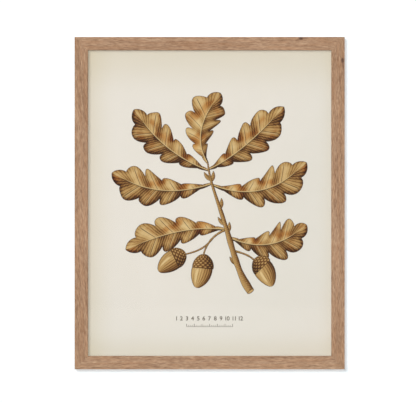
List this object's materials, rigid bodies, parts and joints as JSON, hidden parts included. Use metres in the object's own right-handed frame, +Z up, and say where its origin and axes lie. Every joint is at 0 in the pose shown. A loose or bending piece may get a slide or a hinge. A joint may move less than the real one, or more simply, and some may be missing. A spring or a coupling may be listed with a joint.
{
  "type": "framed print",
  "caption": "Upright art print behind clear acrylic in a slim mitred oak frame, with a sawtooth hanger and felt bumpers at the back.",
  "frame": {"origin": "the middle of the whole object's box, behind the centre of the picture and half way between the frame's front and the wall", "axes": "+X to the viewer's right, +Z up, -Y out of the wall towards the viewer, so the picture faces -Y and the wall is at +Y"},
  "size_m": [0.434, 0.025, 0.534],
  "materials": {
    "oak": "light brown oak, satin, fine straight grain",
    "acrylic": "clear, polished",
    "paper": "matte aged cream art paper with printing in browns",
    "fibreboard": "matte brown fibreboard",
    "steel": "bright steel strip",
    "brass": "satin brass-coloured plate",
    "felt": "dense brown felt"
  },
  "bodies": {
    "root": {"rail_top": "oak", "rail_right": "oak", "rail_bottom": "oak", "rail_left": "oak", "glazing": "acrylic", "print": "paper", "backing_board": "fibreboard", "hanger": "brass", "bumper_left": "felt", "bumper_right": "felt", "framers_point_top_1": "steel", "framers_point_top_2": "steel", "framers_point_top_3": "steel", "framers_point_right_1": "steel", "framers_point_right_2": "steel", "framers_point_right_3": "steel", "framers_point_bottom_1": "steel", "framers_point_bottom_2": "steel", "framers_point_bottom_3": "steel", "framers_point_left_1": "steel", "framers_point_left_2": "steel", "framers_point_left_3": "steel", "v_nail_bottom_left_1": "steel", "v_nail_bottom_left_2": "steel", "v_nail_top_left_1": "steel", "v_nail_top_left_2": "steel", "v_nail_top_right_1": "steel", "v_nail_top_right_2": "steel", "v_nail_bottom_right_1": "steel", "v_nail_bottom_right_2": "steel", "hanger_nail_left": "steel", "hanger_nail_right": "steel"}
  },
  "joints": []
}
